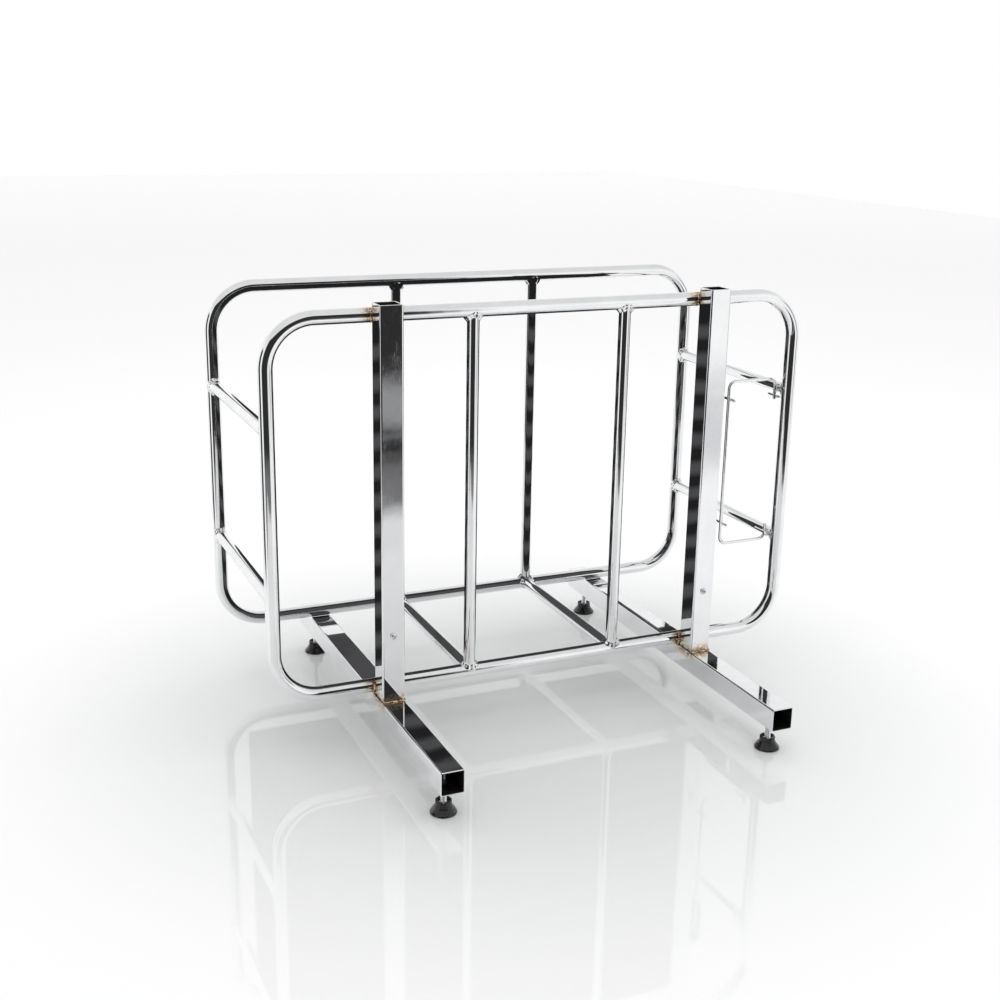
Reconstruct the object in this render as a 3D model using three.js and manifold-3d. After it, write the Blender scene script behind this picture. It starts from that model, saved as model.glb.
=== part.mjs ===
// Upright cage for one piece of luggage: two rounded tube frames joined by cross tubes,
// carried by two square uprights on two square feet with screw-in levelling glides.
// Millimetres, +Z up, +X along the bag, +Y to the back; the origin is on the floor under the
// middle of the feet. The front of the rack, where the uprights stand, faces -Y.

import * as THREE from "three";
import { mergeVertices } from "three/addons/utils/BufferGeometryUtils.js";
import Module from "manifold-3d";

const wasm = await Module();
wasm.setup();

// ---------------------------------------------------------------- driving dimensions

const GAP = 0.3; // free space left between pieces that touch
const OVERRUN = 2; // how far a cutting tool runs past the face it cuts

// Bag space
const CLEAR_WIDTH = 550;
const CLEAR_HEIGHT = 351.5;
const CLEAR_DEPTH = 203;

// Round tubes
const RING_TUBE = 14;
const RING_WALL = 1.2;
const RING_BEND = 46; // centreline radius of the ring corners
const BAR_TUBE = 12;
const BAR_WALL = 1.0;
const BAR_SPACING = 162; // between the two bars of a pair, also used for the cross tubes
const VENT_HOLE = 3.2; // plating drain holes under the rings
const VENT_OFFSET = 215;

// Square tubes
const SQUARE = 23;
const SQUARE_WALL = 1.2;
const SQUARE_RADIUS = 1.8;
const UPRIGHT_SPACING = 345;
const UPRIGHT_TOP = 436.5;
const FOOT_LENGTH = 444;
const FOOT_UNDERSIDE = 28;

// Screw in the front of each upright
const SCREW_HEIGHT = 119.3;
const SCREW_HEAD = 7;
const SCREW_HEAD_HEIGHT = 2.3;
const SCREW_SHANK = 4;
const SCREW_LENGTH = 8;

// Levelling feet
const GLIDE_INSET = 22; // from the end of the foot to the stud axis
const STUD_THREAD = 6;
const STUD_TOP = 43;
const STUD_SEAT = 5.5; // height of the stud's lower end above the floor
const NUT_FLATS = 10;
const NUT_HEIGHT = 5;
const GLIDE_BASE = 25;
const GLIDE_COLLAR = 15.2;
const GLIDE_HEIGHT = 13;
const GLIDE_NOTCHES = 4;

// Wire frame at the right end
const WIRE = 3.6;
const WIRE_BEND = 8;
const WIRE_LEG_X = 216.5;
const WIRE_BEHIND_RING = 12; // from the front ring plane to the wire plane
const WIRE_TOP = 332.5;
const WIRE_BOTTOM = 154;
const WIRE_HOOK_UPPER = 22; // lengths of the two turned-in ends
const WIRE_HOOK_LOWER = 17;
const PIN = 3;
const PIN_LENGTH = 20;
const PIN_SETBACK = 3; // how far the middle of a pin lies behind the wire
const PIN_CLEAR_OF_RING = 3; // extra setback of the pin that ends beside the ring tube
const PIN_UPPER = 312.7;
const PIN_LOWER = 176.3;
const PIN_END_LOWER = 162.5;

// ---------------------------------------------------------------- derived dimensions

const RING_WIDTH = CLEAR_WIDTH + RING_TUBE;
const RING_HEIGHT = CLEAR_HEIGHT + RING_TUBE;
const RING_DEPTH = CLEAR_DEPTH + RING_TUBE;
const FOOT_TOP = FOOT_UNDERSIDE + SQUARE;
const RING_BOTTOM = FOOT_TOP + GAP + RING_TUBE / 2;
const RING_TOP = RING_BOTTOM + RING_HEIGHT;
const RING_MIDDLE = (RING_BOTTOM + RING_TOP) / 2;
const FRONT_Y = -38;
const BACK_Y = FRONT_Y + RING_DEPTH;
const SIDE_X = RING_WIDTH / 2;
const BAR_X = BAR_SPACING / 2;
const CROSS_UPPER = RING_MIDDLE + BAR_SPACING / 2;
const CROSS_LOWER = RING_MIDDLE - BAR_SPACING / 2;
const UPRIGHT_Y = FRONT_Y - RING_TUBE / 2 - GAP - SQUARE / 2;
const UPRIGHT_FACE_Y = UPRIGHT_Y - SQUARE / 2;
const FOOT_X = UPRIGHT_SPACING / 2;
const GLIDE_Y = FOOT_LENGTH / 2 - GLIDE_INSET;
const WIRE_Y = FRONT_Y + WIRE_BEHIND_RING;
const WIRE_END_X = SIDE_X - BAR_TUBE / 2 - GAP - WIRE / 2; // beside the right cross tubes

// ---------------------------------------------------------------- materials

const finishes = {
  chrome: { color: 0xd9dde0, metalness: 1.0, roughness: 0.08 },
  zinc: { color: 0xb9bdc2, metalness: 1.0, roughness: 0.3 },
  plastic: { color: 0x141416, metalness: 0.0, roughness: 0.55 },
};

const group = new THREE.Group();

// ---------------------------------------------------------------- solids

// A closed three geometry as a manifold solid, its seams welded.
function solidOf(geometry) {
  geometry.deleteAttribute("normal");
  geometry.deleteAttribute("uv");
  const merged = mergeVertices(geometry, 1e-4);
  const vertProperties = new Float32Array(merged.attributes.position.array);
  const triVerts = new Uint32Array(merged.index.array);
  return new wasm.Manifold(new wasm.Mesh({ numProp: 3, vertProperties, triVerts }));
}

// Adds a solid to the group as a named mesh with its own material.
function place(name, solid, finish) {
  const mesh = solid.getMesh();
  const geometry = new THREE.BufferGeometry();
  geometry.setAttribute("position", new THREE.BufferAttribute(mesh.vertProperties, 3));
  geometry.setIndex(new THREE.BufferAttribute(mesh.triVerts, 1));
  geometry.computeVertexNormals();
  const node = new THREE.Mesh(geometry, new THREE.MeshStandardMaterial(finishes[finish]));
  node.name = name;
  group.add(node);
}

// Turns geometry made along +Z so that it runs along the named axis.
function pointAlong(geometry, axis) {
  if (axis === "x") geometry.rotateY(Math.PI / 2);
  if (axis === "y") geometry.rotateX(-Math.PI / 2);
  return geometry;
}

function circlePoints(diameter, sides) {
  const points = [];
  for (let i = 0; i < sides; i += 1) {
    const angle = (2 * Math.PI * (i + 0.5)) / sides;
    const radius = diameter / 2;
    points.push(new THREE.Vector2(radius * Math.cos(angle), radius * Math.sin(angle)));
  }
  return points;
}

function roundedSquarePoints(size, radius, steps) {
  const points = [];
  const inner = size / 2 - radius;
  for (let corner = 0; corner < 4; corner += 1) {
    const start = (corner * Math.PI) / 2;
    const centre = new THREE.Vector2(inner, inner).rotateAround(new THREE.Vector2(), start);
    for (let i = 0; i <= steps; i += 1) {
      const angle = start + (i * Math.PI) / (2 * steps);
      const x = centre.x + radius * Math.cos(angle);
      const y = centre.y + radius * Math.sin(angle);
      points.push(new THREE.Vector2(x, y));
    }
  }
  return points;
}

// A straight length of the outline, hollow when a bore is given, centred on its middle.
function barOf(outline, bore, length, axis, centre) {
  const shape = new THREE.Shape(outline);
  if (bore) shape.holes.push(new THREE.Path(bore));
  const geometry = new THREE.ExtrudeGeometry(shape, { depth: length, bevelEnabled: false });
  geometry.translate(0, 0, -length / 2);
  pointAlong(geometry, axis);
  geometry.translate(...centre);
  return solidOf(geometry);
}

function rod(diameter, length, axis, centre, sides = 24) {
  return barOf(circlePoints(diameter, sides), null, length, axis, centre);
}

// A turned piece: radius and height pairs from the axis round to the axis, along +Z.
function turned(profile, sides, axis = "z") {
  const points = profile.map(([r, z]) => new THREE.Vector2(r, z));
  const geometry = new THREE.LatheGeometry(points, sides);
  geometry.rotateX(Math.PI / 2);
  return solidOf(pointAlong(geometry, axis));
}

function block(size, centre) {
  const geometry = new THREE.BoxGeometry(...size);
  geometry.translate(...centre);
  return solidOf(geometry);
}

// ---------------------------------------------------------------- sweeps round bends

// A curve that is only asked for at its own stations: one at each end of every straight and
// a few round every bend, so that straight lengths stay one segment long.
class StationCurve extends THREE.Curve {
  constructor(stations) {
    super();
    this.stations = stations;
  }

  at(u) {
    return this.stations[Math.round(u * (this.stations.length - 1))];
  }

  getPointAt(u, target = new THREE.Vector3()) {
    return target.copy(this.at(u).point);
  }

  getTangentAt(u, target = new THREE.Vector3()) {
    return target.copy(this.at(u).tangent);
  }
}

// Stations round one corner of a polyline.
function bendStations(before, corner, after, radius, steps) {
  const into = corner.clone().sub(before).normalize();
  const out = after.clone().sub(corner).normalize();
  const turn = into.angleTo(out);
  const setback = radius * Math.tan(turn / 2);
  const start = corner.clone().addScaledVector(into, -setback);
  const inward = out.clone().addScaledVector(into, -out.dot(into)).normalize();
  const stations = [];
  for (let i = 0; i <= steps; i += 1) {
    const angle = (turn * i) / steps;
    const point = start.clone().addScaledVector(into, radius * Math.sin(angle));
    point.addScaledVector(inward, radius * (1 - Math.cos(angle)));
    const tangent = into.clone().multiplyScalar(Math.cos(angle));
    tangent.addScaledVector(inward, Math.sin(angle));
    stations.push({ point, tangent });
  }
  return stations;
}

// A closed loop of round section. The two end lids of such a sweep lie on each other, so
// only the side faces are kept and the seam is welded.
function sweptLoop(corners, radius, diameter, sides, steps) {
  const stations = corners.flatMap((corner, i) => {
    const before = corners[(i + corners.length - 1) % corners.length];
    const after = corners[(i + 1) % corners.length];
    return bendStations(before, corner, after, radius, steps);
  });
  stations.push(stations[0]);
  const geometry = new THREE.ExtrudeGeometry(new THREE.Shape(circlePoints(diameter, sides)), {
    steps: stations.length - 1,
    extrudePath: new StationCurve(stations),
  });
  const sideFaces = geometry.groups.find((part) => part.materialIndex === 1);
  const from = sideFaces.start * 3;
  const to = (sideFaces.start + sideFaces.count) * 3;
  const positions = geometry.attributes.position.array.slice(from, to);
  const open = new THREE.BufferGeometry();
  open.setAttribute("position", new THREE.BufferAttribute(positions, 3));
  return solidOf(open);
}

// An open run of round section through the given corners.
function sweptWire(points, radius, diameter, sides, steps) {
  const last = points.length - 1;
  const first = points[1].clone().sub(points[0]).normalize();
  const final = points[last].clone().sub(points[last - 1]).normalize();
  const stations = [{ point: points[0], tangent: first }];
  for (let i = 1; i < last; i += 1) {
    stations.push(...bendStations(points[i - 1], points[i], points[i + 1], radius, steps));
  }
  stations.push({ point: points[last], tangent: final });
  const geometry = new THREE.ExtrudeGeometry(new THREE.Shape(circlePoints(diameter, sides)), {
    steps: stations.length - 1,
    extrudePath: new StationCurve(stations),
  });
  return solidOf(geometry);
}

// ---------------------------------------------------------------- rings and their tubes

// One rounded tube frame standing in a plane of constant Y, hollow, with two drain holes
// underneath that let the plating bath run out.
function ring(y) {
  const corners = [
    new THREE.Vector3(-SIDE_X, y, RING_BOTTOM),
    new THREE.Vector3(SIDE_X, y, RING_BOTTOM),
    new THREE.Vector3(SIDE_X, y, RING_TOP),
    new THREE.Vector3(-SIDE_X, y, RING_TOP),
  ];
  const outside = sweptLoop(corners, RING_BEND, RING_TUBE, 20, 8);
  const bore = sweptLoop(corners, RING_BEND, RING_TUBE - 2 * RING_WALL, 12, 6);
  let tube = outside.subtract(bore);
  for (const x of [-VENT_OFFSET, VENT_OFFSET]) {
    const drill = rod(VENT_HOLE, RING_TUBE / 2, "z", [x, y, RING_BOTTOM - RING_TUBE / 2], 10);
    tube = tube.subtract(drill);
  }
  return tube;
}

// A bar or cross tube between two ring tubes, its ends notched to sit on them.
function notchedTube(length, axis, centre, ringAxis) {
  const outline = circlePoints(BAR_TUBE, 20);
  const bore = circlePoints(BAR_TUBE - 2 * BAR_WALL, 12);
  let tube = barOf(outline, bore, length, axis, centre);
  for (const end of [-1, 1]) {
    const at = [...centre];
    at["xyz".indexOf(axis)] += (end * length) / 2;
    tube = tube.subtract(rod(RING_TUBE + 2 * GAP, 4 * RING_TUBE, ringAxis, at, 40));
  }
  return tube;
}

function uprightBar(x, y) {
  return notchedTube(RING_HEIGHT, "z", [x, y, RING_MIDDLE], "x");
}

function sideCross(x, z) {
  return notchedTube(RING_DEPTH, "y", [x, (FRONT_Y + BACK_Y) / 2, z], "z");
}

// Its ends also clear the upright bars that stand on the same two ring tubes.
function bottomCross(x) {
  let tube = notchedTube(RING_DEPTH, "y", [x, (FRONT_Y + BACK_Y) / 2, RING_BOTTOM], "x");
  for (const y of [FRONT_Y, BACK_Y]) {
    const bar = rod(BAR_TUBE + 2 * GAP, 2 * RING_TUBE, "z", [x, y, RING_BOTTOM + RING_TUBE], 40);
    tube = tube.subtract(bar);
  }
  return tube;
}

// ---------------------------------------------------------------- uprights and feet

function squareTube(length, axis, centre) {
  const outline = roundedSquarePoints(SQUARE, SQUARE_RADIUS, 4);
  const bore = roundedSquarePoints(SQUARE - 2 * SQUARE_WALL, SQUARE_RADIUS - 1, 2);
  return barOf(outline, bore, length, axis, centre);
}

// Stands on the foot, open at the top so that a sign post can be pushed in.
function upright(x) {
  const bottom = FOOT_TOP + GAP;
  const length = UPRIGHT_TOP - bottom;
  const tube = squareTube(length, "z", [x, UPRIGHT_Y, bottom + length / 2]);
  const hole = rod(SCREW_SHANK + 2 * GAP, SQUARE / 2, "y", [x, UPRIGHT_FACE_Y, SCREW_HEIGHT], 20);
  return tube.subtract(hole);
}

// Runs from front to back, open at both ends, drilled from below for the two studs.
function foot(x) {
  let tube = squareTube(FOOT_LENGTH, "y", [x, 0, FOOT_UNDERSIDE + SQUARE / 2]);
  for (const y of [-GLIDE_Y, GLIDE_Y]) {
    const drill = rod(STUD_THREAD + 2 * GAP, SQUARE / 2, "z", [x, y, FOOT_UNDERSIDE], 24);
    tube = tube.subtract(drill);
  }
  return tube;
}

// Pan-head screw in the front wall of an upright, its head towards -Y.
function uprightScrew(x) {
  const radius = SCREW_HEAD / 2;
  const profile = [
    [0, -SCREW_LENGTH],
    [SCREW_SHANK / 2 - 0.5, -SCREW_LENGTH],
    [SCREW_SHANK / 2, -SCREW_LENGTH + 0.5],
    [SCREW_SHANK / 2, 0],
    [radius, 0],
    [radius, SCREW_HEAD_HEIGHT * 0.45],
    [radius * 0.86, SCREW_HEAD_HEIGHT * 0.8],
    [radius * 0.55, SCREW_HEAD_HEIGHT],
    [0, SCREW_HEAD_HEIGHT],
  ];
  let screw = turned(profile, 24);
  for (const size of [[4, 0.9, 2.4], [0.9, 4, 2.4]]) {
    screw = screw.subtract(block(size, [0, 0, SCREW_HEAD_HEIGHT]));
  }
  return screw.rotate([90, 0, 0]).translate([x, UPRIGHT_FACE_Y - GAP, SCREW_HEIGHT]);
}

// ---------------------------------------------------------------- levelling feet

// Hexagon nut lying on the lower wall inside the foot.
function footNut(x, y) {
  const corners = NUT_FLATS / Math.cos(Math.PI / 6);
  const half = NUT_HEIGHT / 2;
  const hexagon = barOf(circlePoints(corners, 6), null, NUT_HEIGHT, "z", [0, 0, 0]);
  const chamfer = turned(
    [
      [0, -half],
      [NUT_FLATS / 2 - 0.2, -half],
      [corners / 2 + 0.05, -half + 0.7],
      [corners / 2 + 0.05, half - 0.7],
      [NUT_FLATS / 2 - 0.2, half],
      [0, half],
    ],
    36,
  );
  const bore = rod(STUD_THREAD + 2 * GAP, NUT_HEIGHT + OVERRUN, "z", [0, 0, 0], 24);
  const z = FOOT_UNDERSIDE + SQUARE_WALL + GAP + half;
  return hexagon.intersect(chamfer).subtract(bore).translate([x, y, z]);
}

// Threaded stud with chamfered ends.
function stud(x, y) {
  const radius = STUD_THREAD / 2;
  const profile = [
    [0, STUD_SEAT],
    [radius - 0.8, STUD_SEAT],
    [radius, STUD_SEAT + 0.8],
    [radius, STUD_TOP - 0.8],
    [radius - 0.8, STUD_TOP],
    [0, STUD_TOP],
  ];
  return turned(profile, 24).translate([x, y, 0]);
}

// Moulded glide: a flared foot under a notched collar, hollow round the stud.
function glide(x, y) {
  const base = GLIDE_BASE / 2;
  const collar = GLIDE_COLLAR / 2;
  const bore = STUD_THREAD / 2 + GAP;
  const profile = [
    [0, 0],
    [base - 0.6, 0],
    [base, 0.6],
    [base, 1.3],
    [base - 1.2, 2.1],
    [base - 2.8, 3.1],
    [base - 4.1, 4.5],
    [collar + 0.2, 6.2],
    [collar, 7.6],
    [collar, GLIDE_HEIGHT - 0.5],
    [collar - 0.5, GLIDE_HEIGHT],
    [bore + 2.0, GLIDE_HEIGHT],
    [bore + 2.0, GLIDE_HEIGHT - 3.4],
    [bore, GLIDE_HEIGHT - 4.2],
    [bore, STUD_SEAT - GAP],
    [0, STUD_SEAT - GAP],
  ];
  let body = turned(profile, 40);
  for (let i = 0; i < GLIDE_NOTCHES / 2; i += 1) {
    const slot = block([2 * GLIDE_COLLAR, 3.4, 6], [0, 0, GLIDE_HEIGHT + 0.2]);
    body = body.subtract(slot.rotate([0, 0, 45 + (360 * i) / GLIDE_NOTCHES]));
  }
  return body.translate([x, y, 0]);
}

// ---------------------------------------------------------------- wire frame

// A bent wire reaching in from the two right cross tubes. Its turned-in ends lie against
// their inner sides, where they are welded on.
function signFrame() {
  const points = [
    new THREE.Vector3(WIRE_END_X, WIRE_Y, WIRE_TOP - WIRE_HOOK_UPPER),
    new THREE.Vector3(WIRE_END_X, WIRE_Y, WIRE_TOP),
    new THREE.Vector3(WIRE_LEG_X, WIRE_Y, WIRE_TOP),
    new THREE.Vector3(WIRE_LEG_X, WIRE_Y, WIRE_BOTTOM),
    new THREE.Vector3(WIRE_END_X, WIRE_Y, WIRE_BOTTOM),
    new THREE.Vector3(WIRE_END_X, WIRE_Y, WIRE_BOTTOM + WIRE_HOOK_LOWER),
  ];
  return sweptWire(points, WIRE_BEND, WIRE, 12, 5);
}

// A short pin standing through the plane of the wire frame, beside the wire.
function signPin(x, y, z) {
  const radius = PIN / 2;
  const half = PIN_LENGTH / 2;
  const profile = [
    [0, -half],
    [radius - 0.4, -half],
    [radius, -half + 0.4],
    [radius, half - 0.4],
    [radius - 0.4, half],
    [0, half],
  ];
  return turned(profile, 16, "y").translate([x, y, z]);
}

// ---------------------------------------------------------------- assembly

const sides = { left: -1, right: 1 };
const frames = { front: FRONT_Y, back: BACK_Y };
const glideRows = { front: -GLIDE_Y, rear: GLIDE_Y };

for (const [frame, y] of Object.entries(frames)) {
  place(`${frame}_ring`, ring(y), "chrome");
  for (const [side, sign] of Object.entries(sides)) {
    place(`${frame}_bar_${side}`, uprightBar(sign * BAR_X, y), "chrome");
  }
}

for (const [side, sign] of Object.entries(sides)) {
  place(`cross_${side}_upper`, sideCross(sign * SIDE_X, CROSS_UPPER), "chrome");
  place(`cross_${side}_lower`, sideCross(sign * SIDE_X, CROSS_LOWER), "chrome");
  place(`bottom_cross_${side}`, bottomCross(sign * BAR_X), "chrome");
  place(`upright_${side}`, upright(sign * FOOT_X), "chrome");
  place(`foot_${side}`, foot(sign * FOOT_X), "chrome");
  place(`upright_screw_${side}`, uprightScrew(sign * FOOT_X), "zinc");
  for (const [row, y] of Object.entries(glideRows)) {
    place(`foot_nut_${row}_${side}`, footNut(sign * FOOT_X, y), "zinc");
    place(`stud_${row}_${side}`, stud(sign * FOOT_X, y), "zinc");
    place(`glide_${row}_${side}`, glide(sign * FOOT_X, y), "plastic");
  }
}

place("sign_frame", signFrame(), "chrome");

const pinBeside = WIRE / 2 + GAP + PIN / 2;
const pinY = WIRE_Y + PIN_SETBACK;
const pins = {
  sign_pin_leg_upper: [WIRE_LEG_X + pinBeside, pinY, PIN_UPPER],
  sign_pin_leg_lower: [WIRE_LEG_X + pinBeside, pinY, PIN_LOWER],
  sign_pin_end_upper: [WIRE_END_X + pinBeside, pinY + PIN_CLEAR_OF_RING, PIN_UPPER],
  sign_pin_end_lower: [WIRE_END_X - pinBeside, pinY, PIN_END_LOWER],
};
for (const [name, centre] of Object.entries(pins)) {
  place(name, signPin(...centre), "chrome");
}

export default group;
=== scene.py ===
import math

import bmesh
import bpy
import numpy as np
from mathutils import Matrix, Vector

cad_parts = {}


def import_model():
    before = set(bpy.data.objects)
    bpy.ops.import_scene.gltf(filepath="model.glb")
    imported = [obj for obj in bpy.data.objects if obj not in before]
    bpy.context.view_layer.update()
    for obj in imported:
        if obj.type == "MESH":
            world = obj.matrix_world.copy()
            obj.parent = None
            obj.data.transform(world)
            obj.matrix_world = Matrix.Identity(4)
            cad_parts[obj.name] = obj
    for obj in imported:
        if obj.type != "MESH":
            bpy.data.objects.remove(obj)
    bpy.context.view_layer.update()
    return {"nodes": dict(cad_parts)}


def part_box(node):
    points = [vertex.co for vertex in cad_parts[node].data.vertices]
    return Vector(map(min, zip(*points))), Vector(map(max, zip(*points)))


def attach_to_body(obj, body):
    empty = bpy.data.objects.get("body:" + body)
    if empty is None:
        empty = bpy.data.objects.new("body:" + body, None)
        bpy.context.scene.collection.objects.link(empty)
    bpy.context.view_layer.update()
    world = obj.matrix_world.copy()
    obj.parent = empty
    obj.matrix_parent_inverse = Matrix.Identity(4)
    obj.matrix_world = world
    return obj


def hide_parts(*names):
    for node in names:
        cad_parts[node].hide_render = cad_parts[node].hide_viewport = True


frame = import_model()

# Every length is in metres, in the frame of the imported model: +X along the length of the bag,
# +Y from the uprights towards the back ring, +Z up. Places and outer sizes are read from the
# frame; what its boxes can't tell is named here.
MM = 0.001
RING_BEND = 46 * MM  # centreline radius of the ring corners
WIRE_BEND = 8 * MM
WIRE_HOOK_UPPER = 22 * MM
SQUARE_RADIUS = 1.8 * MM
SQUARE_WALL = 1.2 * MM
VENT_HOLE = 3.2 * MM
VENT_OFFSET = 215 * MM
VENT_DEPTH = 4 * MM
THREAD_PITCH = 1.0 * MM
STUD_HOLE = 6.6 * MM
GLIDE_RECESS = 3.4 * MM  # depth of the pocket round the stud
GLIDE_NOTCH = 2.9 * MM
EDGE = 0.35 * MM  # bevel on a cut end
HOLD = 0.15 * MM  # distance of the support loop that keeps a flat face flat

SIDES = {"left": -1, "right": 1}
ROWS = ("front", "rear")


# ---------------------------------------------------------------- materials


def add_node(tree, kind, inputs=None, **settings):
    node = tree.nodes.new(kind)
    for name, value in settings.items():
        setattr(node, name, value)
    for name, value in (inputs or {}).items():
        node.inputs[name].default_value = value
    return node


def link(tree, source, output, target, socket):
    tree.links.new(source.outputs[output], target.inputs[socket])


def ramp(tree, stops, source, output):
    """A colour ramp through (position, colour) stops, fed by one output."""
    node = add_node(tree, "ShaderNodeValToRGB")
    elements = node.color_ramp.elements
    while len(elements) < len(stops):
        elements.new(0.5)
    for element, (position, colour) in zip(elements, stops):
        element.position = position
        element.color = (*colour, 1)
    link(tree, source, output, node, "Fac")
    return node


def remap(tree, source, output, low, high, to_low, to_high):
    node = add_node(
        tree,
        "ShaderNodeMapRange",
        {"From Min": low, "From Max": high, "To Min": to_low, "To Max": to_high},
        interpolation_type="SMOOTHSTEP",
    )
    link(tree, source, output, node, "Value")
    return node


def blend_colours(tree, mode, factor, first, second):
    """Mix node; each argument is a (node, output) pair or a plain value."""
    node = add_node(tree, "ShaderNodeMix", data_type="RGBA", blend_type=mode)
    sockets = (node.inputs[0], node.inputs[6], node.inputs[7])
    for socket, value in zip(sockets, (factor, first, second)):
        if isinstance(value, tuple) and hasattr(value[0], "outputs"):
            tree.links.new(value[0].outputs[value[1]], socket)
        else:
            socket.default_value = value
    return node


def new_material(name):
    material = bpy.data.materials.new(name)
    material.use_nodes = True
    tree = material.node_tree
    return material, tree, tree.nodes["Principled BSDF"]


def bump(tree, shader, layers):
    """Chained bumps; each layer is (node, output, height in metres, strength)."""
    previous = None
    for source, output, height, strength in layers:
        node = add_node(tree, "ShaderNodeBump", {"Distance": height, "Strength": strength})
        link(tree, source, output, node, "Height")
        if previous:
            link(tree, previous, "Normal", node, "Normal")
        previous = node
    link(tree, previous, "Normal", shader, "Normal")


HEAT_TINT = [
    (0.0, (1.0, 1.0, 1.0)),
    (0.48, (1.0, 1.0, 1.0)),
    (0.62, (0.98, 0.94, 0.85)),
    (0.74, (0.86, 0.76, 0.64)),
    (0.84, (0.63, 0.52, 0.45)),
    (0.93, (0.40, 0.32, 0.28)),
    (1.0, (0.28, 0.21, 0.19)),
]


def chrome():
    """Plated tube: drawn streaks along the grain, fine scratches, haze and heat tint at welds."""
    material, tree, shader = new_material("chrome_plate")
    grain = add_node(tree, "ShaderNodeAttribute", attribute_name="grain")
    place = add_node(tree, "ShaderNodeTexCoord")
    streaks = add_node(
        tree, "ShaderNodeTexNoise", {"Scale": 210.0, "Detail": 3.0, "Roughness": 0.55}
    )
    link(tree, grain, "Vector", streaks, "Vector")
    waves = add_node(tree, "ShaderNodeTexNoise", {"Scale": 34.0, "Detail": 2.0})
    link(tree, place, "Object", waves, "Vector")
    peel = add_node(tree, "ShaderNodeTexNoise", {"Scale": 620.0, "Detail": 2.0})
    link(tree, place, "Object", peel, "Vector")
    scratches = add_node(
        tree, "ShaderNodeTexNoise", {"Scale": 1500.0, "Detail": 1.0, "Distortion": 0.4}
    )
    link(tree, grain, "Vector", scratches, "Vector")
    haze = add_node(tree, "ShaderNodeTexNoise", {"Scale": 22.0, "Detail": 5.0, "Roughness": 0.65})
    link(tree, place, "Object", haze, "Vector")

    polish = remap(tree, haze, "Fac", 0.45, 0.8, 0.025, 0.11)
    worn = remap(tree, scratches, "Fac", 0.60, 0.72, 0.0, 0.05)
    rough = add_node(tree, "ShaderNodeMath", operation="ADD")
    tree.links.new(polish.outputs["Result"], rough.inputs[0])
    tree.links.new(worn.outputs["Result"], rough.inputs[1])
    heat = add_node(tree, "ShaderNodeAttribute", attribute_name="weld_heat")
    scorch = add_node(tree, "ShaderNodeTexNoise", {"Scale": 260.0, "Detail": 3.0})
    link(tree, place, "Object", scorch, "Vector")
    uneven = remap(tree, scorch, "Fac", 0.3, 0.7, 0.80, 1.12)
    edge = add_node(tree, "ShaderNodeMath", operation="MULTIPLY")
    tree.links.new(heat.outputs["Fac"], edge.inputs[0])
    tree.links.new(uneven.outputs["Result"], edge.inputs[1])
    tint = ramp(tree, HEAT_TINT, edge, "Value")
    plate = ramp(tree, [(0.3, (0.80, 0.81, 0.82)), (0.7, (0.90, 0.905, 0.91))], haze, "Fac")
    colour = blend_colours(tree, "MULTIPLY", 1.0, (plate, "Color"), (tint, "Color"))
    burnt = remap(tree, edge, "Value", 0.5, 1.0, 0.0, 0.16)
    total = add_node(tree, "ShaderNodeMath", operation="ADD")
    tree.links.new(rough.outputs["Value"], total.inputs[0])
    tree.links.new(burnt.outputs["Result"], total.inputs[1])

    tree.links.new(colour.outputs[2], shader.inputs["Base Color"])
    link(tree, total, "Value", shader, "Roughness")
    shader.inputs["Metallic"].default_value = 1.0
    bump(
        tree,
        shader,
        [
            (waves, "Fac", 60e-6, 1.0),
            (streaks, "Fac", 7e-6, 1.0),
            (peel, "Fac", 0.9e-6, 1.0),
            (scratches, "Fac", 0.5e-6, 0.6),
        ],
    )
    return material


def weld(name, dark, light, roughness):
    """Solidified bead: fine ripples and pits over an uneven oxide colour."""
    material, tree, shader = new_material(name)
    place = add_node(tree, "ShaderNodeTexCoord")
    patches = add_node(
        tree, "ShaderNodeTexNoise", {"Scale": 420.0, "Detail": 4.0, "Roughness": 0.6}
    )
    link(tree, place, "Object", patches, "Vector")
    pits = add_node(tree, "ShaderNodeTexNoise", {"Scale": 1500.0, "Detail": 3.0})
    link(tree, place, "Object", pits, "Vector")
    colour = ramp(tree, [(0.40, dark), (0.56, light), (0.75, light)], patches, "Fac")
    rough = remap(tree, pits, "Fac", 0.3, 0.7, roughness * 0.6, roughness * 1.7)
    link(tree, colour, "Color", shader, "Base Color")
    link(tree, rough, "Result", shader, "Roughness")
    shader.inputs["Metallic"].default_value = 1.0
    bump(tree, shader, [(patches, "Fac", 200e-6, 0.9), (pits, "Fac", 12e-6, 0.8)])
    return material


def zinc():
    """Bright zinc plating on turned steel."""
    material, tree, shader = new_material("zinc_plate")
    place = add_node(tree, "ShaderNodeTexCoord")
    bloom = add_node(tree, "ShaderNodeTexNoise", {"Scale": 300.0, "Detail": 4.0, "Roughness": 0.6})
    link(tree, place, "Object", bloom, "Vector")
    fine = add_node(tree, "ShaderNodeTexNoise", {"Scale": 2400.0, "Detail": 2.0})
    link(tree, place, "Object", fine, "Vector")
    colour = ramp(
        tree,
        [(0.3, (0.66, 0.68, 0.72)), (0.55, (0.82, 0.84, 0.86)), (0.75, (0.86, 0.85, 0.80))],
        bloom,
        "Fac",
    )
    rough = remap(tree, bloom, "Fac", 0.3, 0.7, 0.09, 0.24)
    link(tree, colour, "Color", shader, "Base Color")
    link(tree, rough, "Result", shader, "Roughness")
    shader.inputs["Metallic"].default_value = 1.0
    bump(tree, shader, [(bloom, "Fac", 8e-6, 0.7), (fine, "Fac", 2e-6, 0.6)])
    return material


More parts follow.
